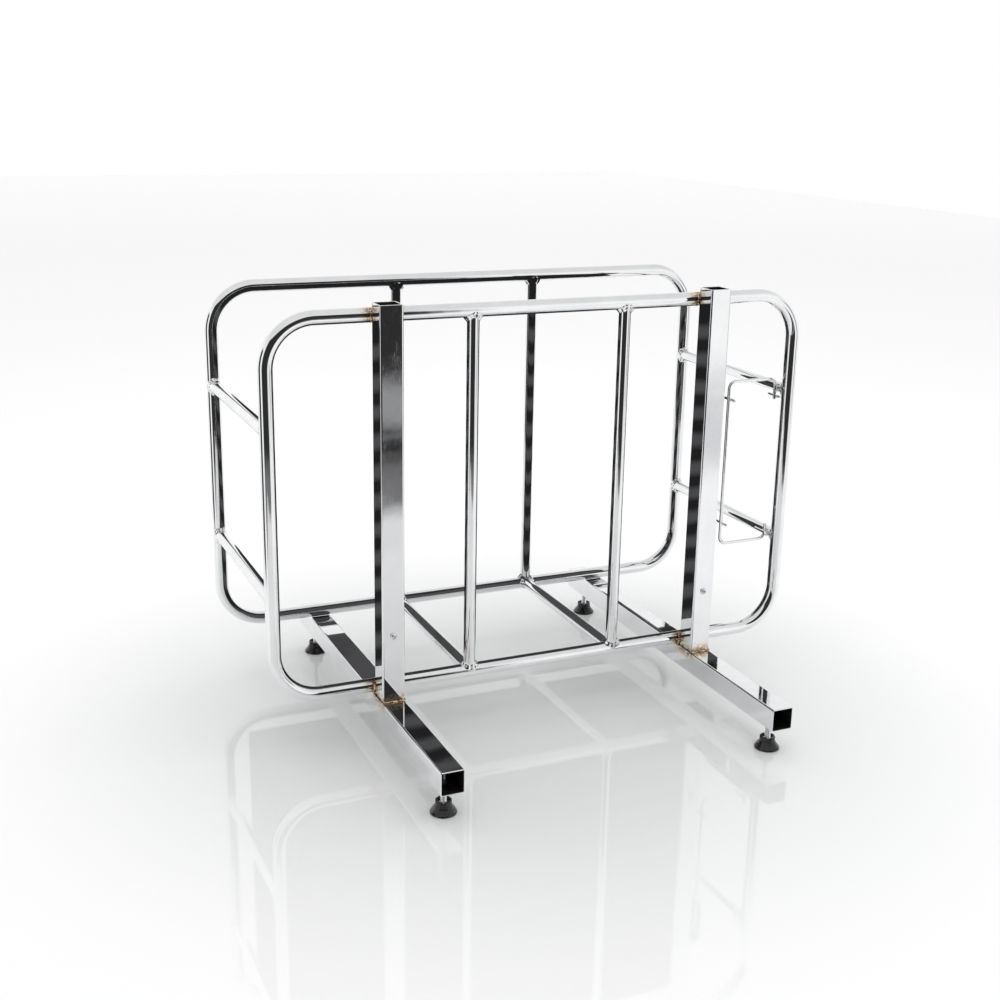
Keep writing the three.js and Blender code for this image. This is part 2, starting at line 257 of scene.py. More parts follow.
def bare_steel():
    """The unplated inside of a tube: mill scale with a little rust bloom."""
    material, tree, shader = new_material("tube_inside")
    place = add_node(tree, "ShaderNodeTexCoord")
    scale = add_node(tree, "ShaderNodeTexNoise", {"Scale": 160.0, "Detail": 5.0, "Roughness": 0.65})
    link(tree, place, "Object", scale, "Vector")
    colour = ramp(
        tree,
        [
            (0.35, (0.020, 0.019, 0.018)),
            (0.55, (0.045, 0.040, 0.036)),
            (0.75, (0.085, 0.058, 0.040)),
        ],
        scale,
        "Fac",
    )
    rough = remap(tree, scale, "Fac", 0.3, 0.7, 0.35, 0.62)
    link(tree, colour, "Color", shader, "Base Color")
    link(tree, rough, "Result", shader, "Roughness")
    shader.inputs["Metallic"].default_value = 0.7
    bump(tree, shader, [(scale, "Fac", 40e-6, 0.8)])
    return material


def plastic():
    """Black moulded glide: fine spark grain, scuffed paler near the floor."""
    material, tree, shader = new_material("black_plastic")
    place = add_node(tree, "ShaderNodeTexCoord")
    grain = add_node(tree, "ShaderNodeTexNoise", {"Scale": 1900.0, "Detail": 3.0, "Roughness": 0.6})
    link(tree, place, "Object", grain, "Vector")
    cloud = add_node(tree, "ShaderNodeTexNoise", {"Scale": 240.0, "Detail": 3.0})
    link(tree, place, "Object", cloud, "Vector")
    height = add_node(tree, "ShaderNodeSeparateXYZ")
    link(tree, place, "Object", height, "Vector")
    low = remap(tree, height, "Z", 0.0, 0.0035, 1.0, 0.0)
    scuff = add_node(tree, "ShaderNodeMath", operation="MULTIPLY")
    tree.links.new(low.outputs["Result"], scuff.inputs[0])
    tree.links.new(cloud.outputs["Fac"], scuff.inputs[1])
    base = ramp(tree, [(0.3, (0.004, 0.004, 0.005)), (0.7, (0.012, 0.012, 0.013))], cloud, "Fac")
    colour = blend_colours(
        tree, "MIX", (scuff, "Value"), (base, "Color"), (0.035, 0.034, 0.033, 1)
    )
    rough = remap(tree, cloud, "Fac", 0.3, 0.7, 0.14, 0.30)
    tree.links.new(colour.outputs[2], shader.inputs["Base Color"])
    link(tree, rough, "Result", shader, "Roughness")
    shader.inputs["Specular IOR Level"].default_value = 0.55
    bump(tree, shader, [(grain, "Fac", 8e-6, 0.6), (cloud, "Fac", 60e-6, 0.6)])
    return material


CHROME = chrome()
WELD_PLATED = weld("weld_plated", (0.55, 0.55, 0.56), (0.95, 0.95, 0.95), 0.08)
WELD_BRONZE = weld("weld_bronze", (0.05, 0.035, 0.025), (0.78, 0.62, 0.42), 0.09)
ZINC = zinc()
INSIDE = bare_steel()
PLASTIC = plastic()


# ---------------------------------------------------------------- mesh building

heat_sources = []  # points on the bronze welds, which tint the chrome round them
HEAT_REACH = 24 * MM
GRAIN_STRETCH = 0.07  # how far the drawn streaks are stretched along a tube


class Skin:
    """Collects grids of points into one mesh, with its grain and its nearness to a hot weld."""

    def __init__(self):
        self.points, self.faces, self.grain, self.slots = [], [], [], []
        self.count = 0

    def grid(self, rows, across, closed=False, wrap=True, cap=False, slots=None):
        """rows is (n, m, 3) points; across (n, m, 2) places them on the section for the grain."""
        rows = np.asarray(rows, float)
        across = np.broadcast_to(np.asarray(across, float), (*rows.shape[:2], 2))
        n, m = rows.shape[:2]
        middle = rows.mean(axis=1)
        steps = np.linalg.norm(np.roll(middle, -1, axis=0) - middle, axis=1)
        along = np.concatenate([[0.0], np.cumsum(steps)]) * GRAIN_STRETCH
        for i in range(n if closed else n - 1):
            k = (i + 1) % n
            for j in range(m if wrap else m - 1):
                q = (j + 1) % m
                corners = ((i, j), (i, q), (k, q), (k, j))
                self.faces.append([self.count + a * m + b for a, b in corners])
                for a, b, s in ((i, j, i), (i, q, i), (k, q, i + 1), (k, j, i + 1)):
                    self.grain.append((along[s], *across[a, b]))
                self.slots.append(0 if slots is None else slots[i])
        if cap:
            for i in (0, n - 1):
                self.faces.append([self.count + i * m + j for j in range(m)])
                self.grain.extend((along[i], *across[i, j]) for j in range(m))
                self.slots.append(0 if slots is None else slots[min(i, n - 2)])
        self.points.append(rows.reshape(-1, 3))
        self.count += n * m

    def finish(self, name, materials, sharp=40):
        points = np.concatenate(self.points)
        mesh = bpy.data.meshes.new(name)
        mesh.from_pydata([tuple(p) for p in points], [], self.faces)
        for material in materials:
            mesh.materials.append(material)
        mesh.polygons.foreach_set("material_index", self.slots)
        mesh.polygons.foreach_set("use_smooth", [True] * len(self.faces))
        grain = mesh.attributes.new("grain", "FLOAT_VECTOR", "CORNER")
        grain.data.foreach_set("vector", np.asarray(self.grain, np.float32).ravel())
        heat = mesh.attributes.new("weld_heat", "FLOAT", "POINT")
        heat.data.foreach_set("value", heat_at(points))
        shell = bmesh.new()
        shell.from_mesh(mesh)
        bmesh.ops.recalc_face_normals(shell, faces=shell.faces)
        shell.to_mesh(mesh)
        shell.free()
        mesh.set_sharp_from_angle(angle=math.radians(sharp))
        piece = bpy.data.objects.new(name, mesh)
        bpy.context.scene.collection.objects.link(piece)
        return piece


def heat_at(points):
    """1 on a bronze weld, falling to 0 at HEAT_REACH from it."""
    if not heat_sources:
        return np.zeros(len(points), np.float32)
    nearest = np.full(len(points), np.inf)
    for source in heat_sources:
        nearest = np.minimum(nearest, ((points - source) ** 2).sum(axis=1))
    return np.clip(1 - np.sqrt(nearest) / HEAT_REACH, 0, 1).astype(np.float32)


def attach(piece, body, slot, *nodes):
    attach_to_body(piece, body)
    if nodes:
        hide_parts(*nodes)
    return piece


def circle(count):
    turn = np.linspace(0, 2 * math.pi, count, endpoint=False)
    return np.stack([np.cos(turn), np.sin(turn)], axis=1)


def rounded_square(half, radius, corner_steps=6, flat_steps=4):
    """Outline whose flats are held by a support point beside each corner."""
    inner = half - radius
    arc = [
        (inner + radius * math.cos(t), inner + radius * math.sin(t))
        for t in np.linspace(0, math.pi / 2, corner_steps + 1)
    ]
    flat = [(x, half) for x in np.linspace(inner - HOLD, -inner + HOLD, flat_steps)]
    outline = []
    for quarter in range(4):
        c, s = math.cos(quarter * math.pi / 2), math.sin(quarter * math.pi / 2)
        outline += [(c * x - s * y, s * x + c * y) for x, y in arc + flat]
    return np.array(outline)


def swept(skin, path, normal, radius, sides=32, closed=False, cap=False):
    """A round section along a planar path. normal is square to the plane of the path."""
    path = np.asarray(path, float)
    normal = np.asarray(normal, float)
    if closed:
        ahead = np.roll(path, -1, axis=0) - np.roll(path, 1, axis=0)
    else:
        ahead = np.gradient(path, axis=0)
    ahead /= np.linalg.norm(ahead, axis=1)[:, None]
    out = np.cross(ahead, normal)
    section = circle(sides)
    radii = np.broadcast_to(np.asarray(radius, float), (len(path),))[:, None]
    rows = (
        path[:, None]
        + (radii * section[None, :, 0])[..., None] * out[:, None]
        + (radii * section[None, :, 1])[..., None] * normal
    )
    across = radii[..., None] * section[None]
    skin.grid(rows, across, closed=closed, cap=cap)


def bead(skin, path, normal, radius, closed=False):
    """A weld bead: overlapping ripples, slightly uneven, tapered where it starts and stops."""
    path = np.asarray(path, float)
    steps = np.linalg.norm(np.diff(path, axis=0), axis=1)
    run = np.concatenate([[0], np.cumsum(steps)])
    phase = (path[0] * 977).sum()
    wobble = 1 + 0.14 * np.sin(run * 610 + phase) + 0.16 * np.abs(np.sin(run * 1300 + 2 * phase))
    radii = radius * wobble
    if not closed:
        taper = np.minimum(run, run[-1] - run) / (1.6 * radius)
        radii = radii * np.sqrt(np.clip(taper, 0.02, 1))
    swept(skin, path, normal, radii, sides=16, closed=closed, cap=not closed)


def between(start, end, count):
    return np.linspace(np.asarray(start, float), np.asarray(end, float), count)


def arc_points(centre, radius, first, last, count, u, v):
    """Points of an arc from angle first to last in the plane of u and v."""
    turn = np.linspace(first, last, count)
    return (
        np.asarray(centre)
        + radius * np.cos(turn)[:, None] * np.asarray(u, float)
        + radius * np.sin(turn)[:, None] * np.asarray(v, float)
    )


def bent_path(corners, bend, spacing, arc_steps):
    """Straight runs between corner points, joined by arcs; the ends stay square."""
    corners = [np.asarray(c, float) for c in corners]
    path = [corners[0]]
    for before, corner, after in zip(corners, corners[1:], corners[2:]):
        back = (before - corner) / np.linalg.norm(before - corner)
        ahead = (after - corner) / np.linalg.norm(after - corner)
        centre = corner + bend * (back + ahead)
        entry = corner + bend * back
        run = entry - path[-1]
        count = max(2, int(np.linalg.norm(run) / spacing))
        path += list(between(path[-1], entry, count + 1)[1:])
        path += list(arc_points(centre, bend, 0, math.pi / 2, arc_steps + 1, -ahead, -back)[1:])
    run = corners[-1] - path[-1]
    count = max(2, int(np.linalg.norm(run) / spacing))
    path += list(between(path[-1], corners[-1], count + 1)[1:])
    return np.array(path)


def lathe(skin, profile, centre, axis, count=48):
    """profile is (radius, height) pairs turned about the axis through centre."""
    axis = np.asarray(axis, float)
    u = np.array([1.0, 0, 0]) if abs(axis[0]) < 0.5 else np.array([0, 1.0, 0])
    v = np.cross(axis, u)
    section = circle(count)
    rows = [
        np.asarray(centre) + h * axis + r * (section[:, :1] * u + section[:, 1:] * v)
        for r, h in profile
    ]
    across = [max(r, 0.3 * MM) * section for r, _ in profile]
    skin.grid(rows, across, cap=True)


def rounded_profile(profile, radius, steps=3):
    """A turned profile with each inner corner rounded by about radius."""
    points = [np.array(p, float) for p in profile]
    smooth = [points[0]]
    for before, corner, after in zip(points, points[1:], points[2:]):
        back, ahead = before - corner, after - corner
        cut = min(radius, 0.45 * np.linalg.norm(back), 0.45 * np.linalg.norm(ahead))
        first = corner + back / np.linalg.norm(back) * cut
        last = corner + ahead / np.linalg.norm(ahead) * cut
        for t in np.linspace(0, 1, steps + 1):
            smooth.append((1 - t) ** 2 * first + 2 * t * (1 - t) * corner + t * t * last)
    smooth.append(points[-1])
    return smooth


def cut(piece, cutters):
    """Takes closed cutter pieces out of a piece and applies the result."""
    for cutter in cutters:
        boolean = piece.modifiers.new("cut", "BOOLEAN")
        boolean.object, boolean.operation, boolean.solver = cutter, "DIFFERENCE", "EXACT"
    graph = bpy.context.evaluated_depsgraph_get()
    mesh = bpy.data.meshes.new_from_object(piece.evaluated_get(graph), depsgraph=graph)
    piece.modifiers.clear()
    piece.data = mesh
    for cutter in cutters:
        bpy.data.objects.remove(cutter)
    return piece


def drill(centre, axis, diameter, length, name):
    """A cylinder to cut with, its ends either side of centre."""
    skin = Skin()
    radius, half = diameter / 2, length / 2
    lathe(skin, [(radius, -half), (radius, half)], centre, axis, 32)
    return skin.finish(name, [INSIDE])


# ---------------------------------------------------------------- welds


def fillet(skin, foot, bar_axis, ring_axis, bar_radius, ring_radius, leg=3.3 * MM):
    """The weld round the end of a tube where it meets the side of a ring tube.
    foot is the point on the ring's centreline that the tube points away from."""
    foot, a, t = (np.asarray(x, float) for x in (foot, bar_axis, ring_axis))
    b = np.cross(a, t)
    turns = np.linspace(0, 2 * math.pi, 120, endpoint=False)
    phase = (foot * 531).sum()
    sink = 0.12 * MM
    rows = []
    for turn in turns:
        c, s = math.cos(turn), math.sin(turn)
        waviness = math.sin(3 * turn + phase) + math.sin(7 * turn + 2 * phase)
        reach = leg * (1 + 0.12 * waviness)
        radial = c * t + s * b
        height = math.sqrt(max(ring_radius**2 - (bar_radius * s) ** 2, 0))
        top = (bar_radius - sink) * radial + (height + 1.15 * reach) * a
        round_ring = math.asin(bar_radius * s / ring_radius) + reach / ring_radius * s
        low = (bar_radius + reach) * c * t + (ring_radius - sink) * (
            math.sin(round_ring) * b + math.cos(round_ring) * a
        )
        swell = 0.45 * MM + 0.75 * MM * abs(math.sin(5 * turn + phase))
        out = (radial + a) / math.sqrt(2)
        row = []
        for k in np.linspace(0, 1, 9):  # across the face of the weld, from the bar to the ring
            crown = math.sin(math.pi * k)
            rise = swell * crown - 0.7 * MM * crown**3
            row.append(foot + top * (1 - k) + low * k + rise * out)
        rows.append(row)
    rows = np.array(rows)
    across = np.stack([np.linspace(0, leg, 9), np.zeros(9)], axis=1)[None]
    skin.grid(rows, across, closed=True, wrap=False)


# ---------------------------------------------------------------- frame measures


class Box:
    """Low, high, middle and size of a CAD node as arrays."""

    def __init__(self, node):
        low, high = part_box(node)
        self.low, self.high = np.array(low), np.array(high)
        self.middle, self.size = (self.low + self.high) / 2, self.high - self.low


ring_boxes = {row: Box(f"{row}_ring") for row in ("front", "back")}
RING_RADIUS = ring_boxes["front"].size[1] / 2
BAR_RADIUS = Box("front_bar_left").size[0] / 2
RING_HALF_X = ring_boxes["front"].size[0] / 2 - RING_RADIUS
RING_BOTTOM = ring_boxes["front"].low[2] + RING_RADIUS
RING_TOP = ring_boxes["front"].high[2] - RING_RADIUS
uprights = {side: Box(f"upright_{side}") for side in SIDES}
feet = {side: Box(f"foot_{side}") for side in SIDES}
SQUARE_HALF = uprights["left"].size[0] / 2
X, Y, Z = np.eye(3)


# ---------------------------------------------------------------- welds on the uprights


def upright_welds(side):
    """Bronze beads: round the foot of the upright, and round each ring tube behind it."""
    box = uprights[side]
    x, back = box.middle[0], box.high[1]
    ring_y = ring_boxes["front"].middle[1]
    skin = Skin()
    paths = []
    gap = (ring_y - back) - RING_RADIUS
    for level in (RING_BOTTOM, RING_TOP):
        nestled = 1.5 * MM
        rise = math.sqrt((RING_RADIUS + nestled) ** 2 - (RING_RADIUS + gap - nestled) ** 2)
        for up in (-1, 1):
            y, z = back + nestled, level + up * rise
            path = between((x - 9.6 * MM, y, z), (x + 9.6 * MM, y, z), 60)
            bead(skin, path, Z, nestled)
            paths.append(path)
        for sign in (-1, 1):
            wrap = arc_points(
                (x + sign * (SQUARE_HALF + 0.1 * MM), ring_y, level),
                RING_RADIUS + 0.35 * MM,
                math.radians(-62),
                math.radians(62),
                48,
                -Y,
                Z,
            )
            bead(skin, wrap, X, 1.1 * MM)
            paths.append(wrap)
    seat = feet[side].high[2] + 0.35 * MM
    outline = rounded_square(SQUARE_HALF + 0.25 * MM, SQUARE_RADIUS, 5, 26)
    around = np.column_stack([outline + box.middle[:2], np.full(len(outline), seat)])
    bead(skin, around, Z, 1.0 * MM, closed=True)
    paths.append(around)
    heat_sources.extend(np.concatenate([p[::4] for p in paths]))
    return attach(skin.finish(f"upright_welds_{side}", [WELD_BRONZE]), "rack", "chrome_tube")


for side in SIDES:
    upright_welds(side)


# ---------------------------------------------------------------- rings, bars and cross tubes


def ring_path(y):
    """Closed rounded rectangle in the ring's plane, with close stations beside the uprights."""
    hot = [uprights[side].middle[0] for side in SIDES]
    inner_x = RING_HALF_X - RING_BEND
    stations = [-inner_x]
    while stations[-1] < inner_x:
        near = min(abs(stations[-1] - h) for h in hot)
        stations.append(stations[-1] + (1.5 * MM if near < 30 * MM else 9 * MM))
    stations = np.array(stations[:-1])
    stations = stations[stations < inner_x - 2 * MM]
    low, high = RING_BOTTOM, RING_TOP
    middle = (low + high) / 2
    half_z = (high - low) / 2 - RING_BEND
    heights = np.linspace(middle - half_z, middle + half_z, 26)[1:-1]
    path = [(x, y, low) for x in stations]
    corners = [(inner_x, low + RING_BEND, -90), (inner_x, high - RING_BEND, 0),
               (-inner_x, high - RING_BEND, 90), (-inner_x, low + RING_BEND, 180)]
    runs = [
        [(RING_HALF_X, y, z) for z in heights],
        [(-x, y, high) for x in stations],
        [(-RING_HALF_X, y, z) for z in heights[::-1]],
        [],
    ]
    for (cx, cz, start), run in zip(corners, runs):
        path += [tuple(p) for p in arc_points(
            (cx, y, cz), RING_BEND, math.radians(start), math.radians(start + 90), 25, X, Z)]
        path += run
    return np.array(path[:-1])


def ring(row):
    box = ring_boxes[row]
    skin = Skin()
    y = box.middle[1]
    swept(skin, ring_path(y), Y, RING_RADIUS, sides=48, closed=True)
    piece = skin.finish(f"{row}_ring_tube", [CHROME, INSIDE])
    holes = [
        drill((sign * VENT_OFFSET, y, box.low[2]), Z, VENT_HOLE, 2 * VENT_DEPTH, f"vent_{sign}")
        for sign in (-1, 1)
    ]
    cut(piece, holes)
    return attach(piece, "rack", "chrome_tube", f"{row}_ring")


def plain_tube(node, axis, reach):
    """A round tube along an axis; reach carries its ends into the tubes it is welded to."""
    box = Box(node)
    i = int(np.argmax(axis))
    start, end = box.middle.copy(), box.middle.copy()
    start[i], end[i] = box.low[i] - reach[0], box.high[i] + reach[1]
    skin = Skin()
    swept(skin, between(start, end, 24), X if i != 0 else Z, BAR_RADIUS, sides=48, cap=True)
    return attach(skin.finish(f"{node}_tube", [CHROME]), "rack", "chrome_tube", node)


fillets = {"front": Skin(), "back": Skin()}

for row, box in ring_boxes.items():
    ring(row)
    y = box.middle[1]
    inward = Y if row == "front" else -Y
    for side, sign in SIDES.items():
        bar = Box(f"{row}_bar_{side}")
        plain_tube(f"{row}_bar_{side}", Z, (0, 0))
        for level, up in ((RING_BOTTOM, Z), (RING_TOP, -Z)):
            fillet(fillets[row], (bar.middle[0], y, level), up, X, BAR_RADIUS, RING_RADIUS)
        for height in ("upper", "lower"):
            cross = Box(f"cross_{side}_{height}")
            foot = (sign * RING_HALF_X, y, cross.middle[2])
            fillet(fillets[row], foot, inward, Z, BAR_RADIUS, RING_RADIUS)
        bottom = Box(f"bottom_cross_{side}")
        foot = (bottom.middle[0], y, bottom.middle[2])
        fillet(fillets[row], foot, inward, X, BAR_RADIUS, RING_RADIUS)
    attach(fillets[row].finish(f"{row}_ring_welds", [WELD_PLATED]), "rack", "chrome_tube")

for side in SIDES:
    for node in (f"cross_{side}_upper", f"cross_{side}_lower", f"bottom_cross_{side}"):
        plain_tube(node, Y, (0, 0))


# ---------------------------------------------------------------- square tubes


def square_tube(node, axis):
    """Seamed square tube, open at both ends, its cut ends slightly broken."""
    box = Box(node)
    inner_half = SQUARE_HALF - SQUARE_WALL
    inner_radius = SQUARE_RADIUS - 1.0 * MM
    low, high = box.low[axis], box.high[axis]
    body = list(np.linspace(low + EDGE + HOLD, high - EDGE - HOLD, int((high - low) / (3.5 * MM))))
    sections = [(low + EDGE, SQUARE_HALF, SQUARE_RADIUS)]
    sections += [(p, SQUARE_HALF, SQUARE_RADIUS) for p in body]
    sections += [(high - EDGE, SQUARE_HALF, SQUARE_RADIUS)]
    outer_count = len(sections)
    sections += [
        (high, SQUARE_HALF - EDGE, SQUARE_RADIUS - EDGE / 2),
        (high, inner_half + EDGE, inner_radius + EDGE / 2),
        (high - EDGE, inner_half, inner_radius),
        (high - EDGE - HOLD, inner_half, inner_radius),
        (low + EDGE + HOLD, inner_half, inner_radius),
        (low + EDGE, inner_half, inner_radius),
        (low, inner_half + EDGE, inner_radius + EDGE / 2),
        (low, SQUARE_HALF - EDGE, SQUARE_RADIUS - EDGE / 2),
    ]
    slots = [0] * (outer_count + 2) + [1] * 4 + [0] * 2
    across_axes = [i for i in range(3) if i != axis]
    rows, across = [], []
    for place, half, radius in sections:
        outline = rounded_square(half, radius)
        points = np.zeros((len(outline), 3))
        points[:, axis] = place
        points[:, across_axes] = outline + box.middle[across_axes]
        rows.append(points)
        across.append(outline)
    skin = Skin()
    skin.grid(rows, across, closed=True, slots=slots)
    return skin.finish(f"{node}_tube", [CHROME, INSIDE])


for side in SIDES:
    attach(square_tube(f"upright_{side}", 2), "rack", "chrome_tube", f"upright_{side}")
    piece = square_tube(f"foot_{side}", 1)
    holes = []
    for row in ROWS:
        stud = Box(f"stud_{row}_{side}")
        centre = (stud.middle[0], stud.middle[1], feet[side].low[2])
        holes.append(drill(centre, Z, STUD_HOLE, SQUARE_HALF, f"drill_{row}"))
    cut(piece, holes)
    attach(piece, "rack", "chrome_tube", f"foot_{side}")


# ---------------------------------------------------------------- screws, studs and glides


def upright_screw(side):
    """Pan head with a cross recess, standing on the front wall of the upright."""
    node = f"upright_screw_{side}"
    box = Box(node)
    radius = box.size[0] / 2
    shank = radius * 4 / 7
    seat = uprights[side].low[1]
    height = seat - box.low[1]
    profile = [(0.02 * MM, -4 * MM), (shank, -4 * MM), (shank, 0),
               (radius * 0.90, 0), (radius, 0.45 * MM), (radius, height * 0.35),
               (radius * 0.86, height * 0.72),
               (radius * 0.55, height * 0.95), (0.02 * MM, height)]
    centre = (box.middle[0], seat, box.middle[2])
    skin = Skin()
    lathe(skin, rounded_profile(profile, 0.35 * MM), centre, -Y, 48)
    piece = skin.finish(f"{node}_head", [ZINC], 35)
    recess = []
    for i, turn in enumerate((0.35, 0.35 + math.pi / 2)):
        c, s = math.cos(turn), math.sin(turn)
        long_axis, short_axis = np.array([c, 0, s]), np.array([-s, 0, c])
        slot_skin = Skin()
        rows = []
        for depth, half_long, half_short in ((-0.6, 2.3, 0.66), (0.9, 1.7, 0.50), (1.7, 0.9, 0.34)):
            middle = np.array(centre) - Y * (height - depth * MM)
            rows.append([
                middle + MM * (p * half_long * long_axis + q * half_short * short_axis)
                for p, q in ((-1, -1), (1, -1), (1, 1), (-1, 1))
            ])
        slot_skin.grid(rows, np.zeros((1, 1, 2)), cap=True)
        recess.append(slot_skin.finish(f"recess_{i}", [INSIDE]))
    cut(piece, recess)
    return attach(piece, "rack", "zinc_hardware", node)


def stud(row, side):
    """M6 stud with a real helical thread and a pressed shoulder that seats in the glide."""
    node = f"stud_{row}_{side}"
    box = Box(node)
    radius, low, high = box.size[0] / 2, box.low[2], box.high[2]
    columns = 36
    section = circle(columns)
    turn = np.arange(columns) / columns
    depth = 0.61 * THREAD_PITCH
    levels = np.arange(low, high, THREAD_PITCH / 8)
    levels = np.append(levels, high)
    rows, across = [], []
    for z in levels:
        phase = (z / THREAD_PITCH - turn) % 1.0
        tooth = np.clip(np.minimum(phase, 1 - phase) / 0.42 - 0.14, 0, 1)
        end = min(1.0, (z - low + 0.2 * MM) / (1.0 * MM), (high - z + 0.2 * MM) / (1.0 * MM))
        radii = (radius - depth * (1 - tooth)) * (0.82 + 0.18 * end)
        ring_points = radii[:, None] * section + box.middle[:2]
        rows.append(np.column_stack([ring_points, np.full(columns, z)]))
        across.append(radii[:, None] * section)
    skin = Skin()
    skin.grid(rows, across, cap=True)
    seat = Box(f"glide_{row}_{side}").high[2] - GLIDE_RECESS + 0.3 * MM
    shoulder = [
        (radius - 0.6 * MM, 0), (radius + 0.9 * MM, 0), (radius + 1.2 * MM, 0.3 * MM),
        (radius + 1.2 * MM, 1.1 * MM), (radius + 0.9 * MM, 1.4 * MM), (radius - 0.6 * MM, 1.4 * MM),
    ]
    lathe(skin, shoulder, (box.middle[0], box.middle[1], seat), Z, 36)
    piece = skin.finish(f"{node}_thread", [ZINC], 60)
    return attach(piece, f"stud_{row}_{side}", "zinc_stud", node)


def glide(row, side):
    """Moulded glide: a flared base, a castellated collar, and shallow ribs under its posts."""
    node = f"glide_{row}_{side}"
    box = Box(node)
    base, top = box.size[0] / 2, box.high[2]
    collar = 7.6 * MM
    bore, recess = 3.3 * MM, 5.3 * MM
    profile = [
        (0.05 * MM, 0.0), (base - 3.0 * MM, 0.0), (base - 0.6 * MM, 0.0),
        (base, 0.6 * MM), (base, 1.1 * MM),
        (base - 0.5 * MM, 2.2 * MM), (base - 1.4 * MM, 3.6 * MM), (base - 2.8 * MM, 5.2 * MM),
        (collar + 0.9 * MM, 7.0 * MM), (collar, 8.2 * MM), (collar, top - 0.5 * MM),
        (collar - 0.5 * MM, top), (recess + 0.3 * MM, top), (recess, top - 0.3 * MM),
        (recess, top - GLIDE_RECESS), (bore + 0.2 * MM, top - GLIDE_RECESS - 0.4 * MM),
        (bore, top - GLIDE_RECESS - 1.0 * MM), (bore, 5.4 * MM), (0.05 * MM, 5.2 * MM),
    ]
    profile = rounded_profile(profile, 0.45 * MM)
    notch_floor = top - GLIDE_NOTCH
    notches = [math.radians(248 + 90 * i) for i in range(4)]
    angles = list(np.linspace(0, 2 * math.pi, 96, endpoint=False))
    for notch in notches:
        for step in (-0.26, -0.235, 0.235, 0.26):
            angles.append((notch + step) % (2 * math.pi))
    angles = np.array(sorted(set(np.round(angles, 5))))
    nearest = np.min(
        [np.abs((angles - n + math.pi) % (2 * math.pi) - math.pi) for n in notches], axis=0
    )
    in_notch = np.clip((0.262 - nearest) / 0.03, 0, 1)
    on_rib = np.clip((nearest - 0.42) / 0.12, 0, 1)
    rows, across = [], []
    for r, z in profile:
        heights = np.full(len(angles), z)
        if z > notch_floor and r > recess - 0.1 * MM:
            heights = z + in_notch * (notch_floor - z)
        radii = np.full(len(angles), r)
        if 1.6 * MM < z < 7.6 * MM and r > recess:
            swell = math.sin(math.pi * (z - 1.6 * MM) / (6.0 * MM))
            radii = r + 0.55 * MM * swell * (on_rib - 0.5)
        flat = radii[:, None] * np.stack([np.cos(angles), np.sin(angles)], axis=1)
        rows.append(np.column_stack([flat + box.middle[:2], heights]))
        across.append(flat)
    skin = Skin()
    skin.grid(rows, across, cap=True)
    piece = skin.finish(f"{node}_moulding", [PLASTIC], 50)
    return attach(piece, f"glide_{row}_{side}", "black_plastic", node)


for side in SIDES:
    upright_screw(side)
    for row in ROWS:
        stud(row, side)
        glide(row, side)
        nut = frame["nodes"][f"foot_nut_{row}_{side}"]
        nut.data.materials.clear()
        nut.data.materials.append(ZINC)


# ---------------------------------------------------------------- wire frame and its pins

wire_box = Box("sign_frame")
WIRE_RADIUS = wire_box.size[1] / 2
left_x, right_x = wire_box.low[0] + WIRE_RADIUS, wire_box.high[0] - WIRE_RADIUS
wire_top, wire_bottom = wire_box.high[2] - WIRE_RADIUS, wire_box.low[2] + WIRE_RADIUS
wire_y = wire_box.middle[1]
cross_upper, cross_lower = Box("cross_right_upper"), Box("cross_right_lower")
PIN_ENDS = ("leg_upper", "leg_lower", "end_upper", "end_lower")


def sign_frame():
    corners = [
        (right_x, wire_y, wire_top - WIRE_HOOK_UPPER),
        (right_x, wire_y, wire_top),
        (left_x, wire_y, wire_top),
        (left_x, wire_y, wire_bottom),
        (right_x, wire_y, wire_bottom),
        (right_x, wire_y, wire_bottom + 17 * MM),
    ]
    path = bent_path(corners, WIRE_BEND, 6 * MM, 12)
    skin = Skin()
    swept(skin, path, Y, WIRE_RADIUS, sides=28, cap=True)
    return attach(skin.finish("sign_frame_wire", [CHROME]), "rack", "chrome_tube", "sign_frame")


def sign_pin(node):
    box = Box(node)
    radius, half = box.size[0] / 2, box.size[1] / 2
    bevel = 0.4 * MM
    profile = [(0.02 * MM, -half), (radius - bevel, -half), (radius, -half + bevel), (radius, 0),
               (radius, half - bevel), (radius - bevel, half), (0.02 * MM, half)]
    skin = Skin()
    lathe(skin, rounded_profile(profile, 0.2 * MM), box.middle, Y, 32)
    return attach(skin.finish(f"{node}_rod", [CHROME], 50), "rack", "chrome_tube", node)


def sign_welds():
    """Beads along both sides of each hooked wire end, and a tack between each pin and the wire."""
    skin = Skin()
    surface = cross_upper.low[0]
    for level in (cross_upper.middle[2], cross_lower.middle[2]):
        for sign in (-1, 1):
            x, y = (surface + right_x + WIRE_RADIUS) / 2 - 0.5 * MM, wire_y + sign * 1.6 * MM
            bead(skin, between((x, y, level - 4.2 * MM), (x, y, level + 4.2 * MM), 28), Y, 1.2 * MM)
    for end in PIN_ENDS:
        pin = Box(f"sign_pin_{end}")
        leg = min(left_x, right_x, key=lambda x: abs(pin.middle[0] - x))
        x = (pin.middle[0] + leg) / 2
        z = pin.middle[2]
        for sign in (-1, 1):
            low = (x, wire_y + sign * 1.2 * MM, z - 1.6 * MM)
            high = (x, wire_y + sign * 1.2 * MM, z + 1.6 * MM)
            bead(skin, between(low, high, 14), Y, 0.8 * MM)
    return attach(skin.finish("sign_frame_welds", [WELD_PLATED]), "rack", "chrome_tube")


sign_frame()
sign_welds()
for end in PIN_ENDS:
    sign_pin(f"sign_pin_{end}")


# ---------------------------------------------------------------- studio


